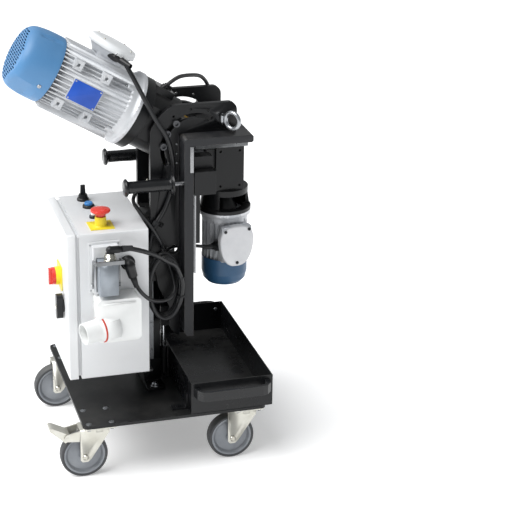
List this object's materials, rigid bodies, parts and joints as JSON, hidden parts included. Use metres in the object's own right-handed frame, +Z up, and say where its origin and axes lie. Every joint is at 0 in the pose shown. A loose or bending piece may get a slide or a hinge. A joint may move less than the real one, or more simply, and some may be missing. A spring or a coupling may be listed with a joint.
{
  "type": "plate beveling machine",
  "caption": "Plate edge beveling machine on a castor trolley: tilting milling head on quadrant plates, table with lower feed jaw, control cabinet, chip tray.",
  "frame": {"origin": "on the floor, under the middle of the whole machine's box", "axes": "+Z up, +X from the control cabinet to the plate throat, +Y along the feed"},
  "size_m": [0.6492, 0.579, 1.157],
  "materials": {
    "black_paint": "satin",
    "dark_paint": "satin",
    "light_paint": "satin",
    "zinc": "satin",
    "tyre": "matt",
    "steel": "satin",
    "chrome": "polished",
    "motor_grey": "satin",
    "light_blue": "satin",
    "dark_blue": "satin",
    "white_plastic": "satin",
    "black_plastic": "satin",
    "yellow_plastic": "satin",
    "red_plastic": "satin",
    "blue_plastic": "satin",
    "cord_rubber": "matt"
  },
  "bodies": {
    "base": {"base_plate": "black_paint", "castor_mounts": "zinc", "column": "black_paint", "guide_rails": "steel", "cabinet_shell": "light_paint", "control_gear": "steel", "power_inlet": "white_plastic", "connector_housing": "motor_grey", "connector_hood": "motor_grey", "cabinet_plugs": "black_plastic", "stop_collar": "yellow_plastic", "button_bezels": "black_plastic", "tray_guides": "black_paint", "cord_coil": "cord_rubber", "slack_cord": "cord_rubber", "switch_lead": "cord_rubber", "feed_slack": "cord_rubber"},
    "stop_button": {"stop_button": "red_plastic"},
    "lamp_button": {"lamp_button": "white_plastic"},
    "start_button": {"start_button": "blue_plastic"},
    "selector": {"selector_knob": "black_plastic"},
    "lever": {"hood_lever": "steel"},
    "door": {"cabinet_door": "light_paint", "switch_plate": "yellow_plastic"},
    "main_switch": {"main_switch": "red_plastic"},
    "latch": {"door_latch": "black_plastic"},
    "tray": {"tray_box": "black_paint", "tray_handles": "dark_paint"},
    "fork_fl": {"castor_fork_fl": "zinc"},
    "fork_fr": {"castor_fork_fr": "zinc"},
    "fork_rl": {"castor_fork_rl": "zinc"},
    "fork_rr": {"castor_fork_rr": "zinc"},
    "wheel_fl": {"castor_wheel_fl": "tyre"},
    "wheel_fr": {"castor_wheel_fr": "tyre"},
    "wheel_rl": {"castor_wheel_rl": "tyre"},
    "wheel_rr": {"castor_wheel_rr": "tyre"},
    "pedal": {"brake_pedal": "zinc"},
    "carriage": {"quadrant_front": "black_paint", "quadrant_rear": "black_paint", "table_frame": "dark_paint", "carriage_blocks": "dark_paint", "cord_clips": "dark_paint", "lift_rod": "chrome", "push_handles": "black_plastic", "head_cord": "cord_rubber", "hose": "cord_rubber", "feed_cord": "cord_rubber"},
    "ring": {"lifting_ring": "steel"},
    "head": {"gear_housing": "black_paint", "lock_bolts": "steel", "main_motor": "motor_grey", "main_fan_cover": "light_blue", "terminal_box": "motor_grey"},
    "rotor": {"motor_fan": "black_plastic"},
    "cutter": {"cutter_head": "steel"},
    "jaw": {"jaw_slide": "dark_paint", "feed_gearbox": "black_paint", "feed_motor": "motor_grey", "feed_fan_cover": "dark_blue"},
    "roller": {"feed_roller": "steel"}
  },
  "joints": [
    {"name": "swivel_fl", "type": "hinge", "parent": "base", "child": "fork_fl", "pos_m": [-0.1424, -0.1985, 0.148], "axis": [0, 0, 1], "continuous": true},
    {"name": "roll_fl", "type": "hinge", "parent": "fork_fl", "child": "wheel_fl", "pos_m": [-0.1804, -0.1985, 0.0625], "axis": [0, 1, 0], "continuous": true},
    {"name": "swivel_fr", "type": "hinge", "parent": "base", "child": "fork_fr", "pos_m": [0.2556, -0.1985, 0.148], "axis": [0, 0, 1], "continuous": true},
    {"name": "roll_fr", "type": "hinge", "parent": "fork_fr", "child": "wheel_fr", "pos_m": [0.2176, -0.1985, 0.0625], "axis": [0, 1, 0], "continuous": true},
    {"name": "swivel_rl", "type": "hinge", "parent": "base", "child": "fork_rl", "pos_m": [-0.1424, 0.2135, 0.148], "axis": [0, 0, 1], "continuous": true},
    {"name": "roll_rl", "type": "hinge", "parent": "fork_rl", "child": "wheel_rl", "pos_m": [-0.1804, 0.2135, 0.0625], "axis": [0, 1, 0], "continuous": true},
    {"name": "swivel_rr", "type": "hinge", "parent": "base", "child": "fork_rr", "pos_m": [0.2556, 0.2135, 0.148], "axis": [0, 0, 1], "continuous": true},
    {"name": "roll_rr", "type": "hinge", "parent": "fork_rr", "child": "wheel_rr", "pos_m": [0.2176, 0.2135, 0.0625], "axis": [0, 1, 0], "continuous": true},
    {"name": "brake_pedal", "type": "hinge", "parent": "fork_fl", "child": "pedal", "pos_m": [-0.2264, -0.1985, 0.12], "axis": [0, -1, 0], "range_deg": [0, 11]},
    {"name": "cabinet_door", "type": "hinge", "parent": "base", "child": "door", "pos_m": [-0.1834, 0.1265, 0.462], "axis": [0, 0, -1], "range_deg": [0, 110]},
    {"name": "main_switch_turn", "type": "hinge", "parent": "door", "child": "main_switch", "pos_m": [-0.2054, -0.0605, 0.512], "axis": [-1, 0, 0], "range_deg": [0, 90]},
    {"name": "latch_turn", "type": "hinge", "parent": "door", "child": "latch", "pos_m": [-0.2054, -0.1025, 0.444], "axis": [-1, 0, 0], "range_deg": [0, 90]},
    {"name": "stop_press", "type": "slide", "parent": "base", "child": "stop_button", "axis": [0, 0, -1], "range_m": [0, 0.0035], "stiffness_N_per_m": 2000, "springref_m": -0.001},
    {"name": "lamp_press", "type": "slide", "parent": "base", "child": "lamp_button", "axis": [0, 0, -1], "range_m": [0, 0.0018], "stiffness_N_per_m": 1500, "springref_m": -0.001},
    {"name": "start_press", "type": "slide", "parent": "base", "child": "start_button", "axis": [0, 0, -1], "range_m": [0, 0.0018], "stiffness_N_per_m": 1500, "springref_m": -0.001},
    {"name": "selector_turn", "type": "hinge", "parent": "base", "child": "selector", "pos_m": [-0.1154, 0.0795, 0.664], "axis": [0, 0, 1], "range_deg": [-45, 45]},
    {"name": "lever_swing", "type": "hinge", "parent": "base", "child": "lever", "pos_m": [-0.1144, -0.1935, 0.53], "axis": [1, 0, 0], "range_deg": [0, 75]},
    {"name": "tray_slide", "type": "slide", "parent": "base", "child": "tray", "axis": [0, -1, 0], "range_m": [0, 0.35]},
    {"name": "carriage_lift", "type": "slide", "parent": "base", "child": "carriage", "axis": [0, 0, 1], "range_m": [-0.03, 0.03], "deforming": ["slack_cord", "switch_lead", "feed_slack"]},
    {"name": "ring_swing", "type": "hinge", "parent": "carriage", "child": "ring", "pos_m": [0.2186, -0.0935, 0.914], "axis": [0, 0, 1], "range_deg": [-60, 50]},
    {"name": "head_tilt", "type": "hinge", "parent": "carriage", "child": "head", "pos_m": [0.1496, 0.0075, 0.838], "axis": [0, 1, 0], "range_deg": [-15, 30], "deforming": ["head_cord", "hose"]},
    {"name": "cutter_spin", "type": "hinge", "parent": "head", "child": "cutter", "pos_m": [0.1496, 0.0075, 0.838], "axis": [0.866, 0, -0.5], "continuous": true},
    {"name": "motor_spin", "type": "hinge", "parent": "head", "child": "rotor", "pos_m": [0.1496, 0.0075, 0.838], "axis": [0.866, 0, -0.5], "continuous": true},
    {"name": "jaw_slide", "type": "slide", "parent": "carriage", "child": "jaw", "axis": [0, 0, 1], "range_m": [-0.048, 0.006], "deforming": ["feed_cord"]},
    {"name": "roller_spin", "type": "hinge", "parent": "jaw", "child": "roller", "pos_m": [0.1666, 0.0075, 0.791], "axis": [1, 0, 0], "continuous": true}
  ],
  "couplings": [
    {"joint": "motor_spin", "follows": "cutter_spin", "ratio": -1.38}
  ]
}
